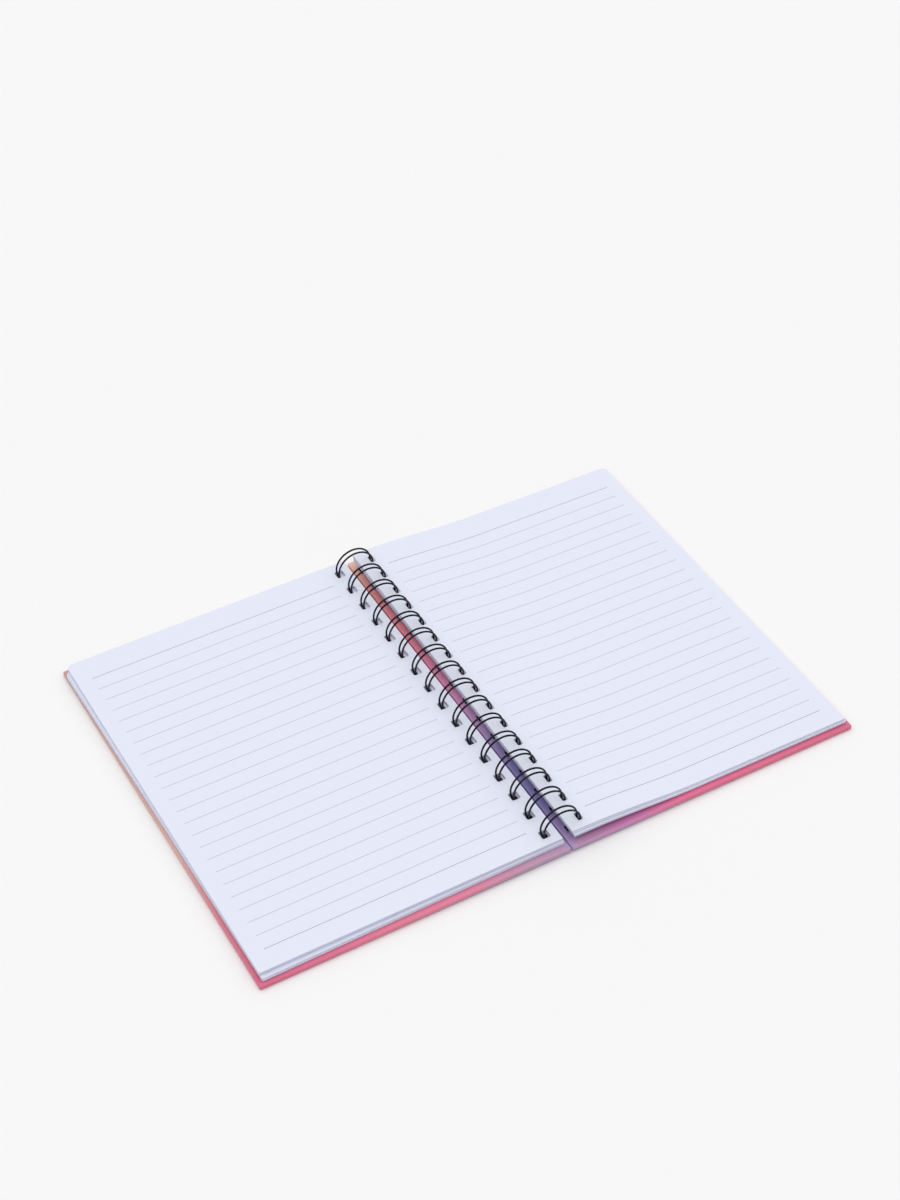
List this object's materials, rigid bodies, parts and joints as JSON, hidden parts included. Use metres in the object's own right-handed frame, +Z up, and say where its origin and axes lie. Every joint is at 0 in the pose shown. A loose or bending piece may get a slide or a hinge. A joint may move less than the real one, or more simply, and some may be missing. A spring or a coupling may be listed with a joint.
{
  "type": "open wire-bound notebook",
  "caption": "Hard-cover notebook lying open on a table: a wire-loop comb runs through punched boards and ruled leaves, and the front half and the leaf block turn about the comb.",
  "frame": {"origin": "on the table, under the middle of the open book: across it the middle of the wire comb, and along it the middle of the covers", "axes": "+X to the right across the open book, +Y along the comb to the head of the pages, +Z up out of the pages"},
  "size_m": [0.2972, 0.2094, 0.0182],
  "materials": {
    "cover_board": "satin printed wrap",
    "leaf_paper": "matt ruled paper",
    "black_wire": "glossy black"
  },
  "bodies": {
    "back": {"back_cover": "cover_board", "twin_loop_wire": "black_wire"},
    "front": {"front_cover": "cover_board", "left_pages": "leaf_paper"},
    "right_leaves": {"right_pages": "leaf_paper"}
  },
  "joints": [
    {"name": "front_cover_turn", "type": "hinge", "parent": "back", "child": "front", "pos_m": [0, 0, 0.00865], "axis": [0, 1, 0], "range_deg": [0, 182]},
    {"name": "right_leaves_turn", "type": "hinge", "parent": "back", "child": "right_leaves", "pos_m": [0, 0, 0.00865], "axis": [0, -1, 0], "range_deg": [0, 182]}
  ]
}
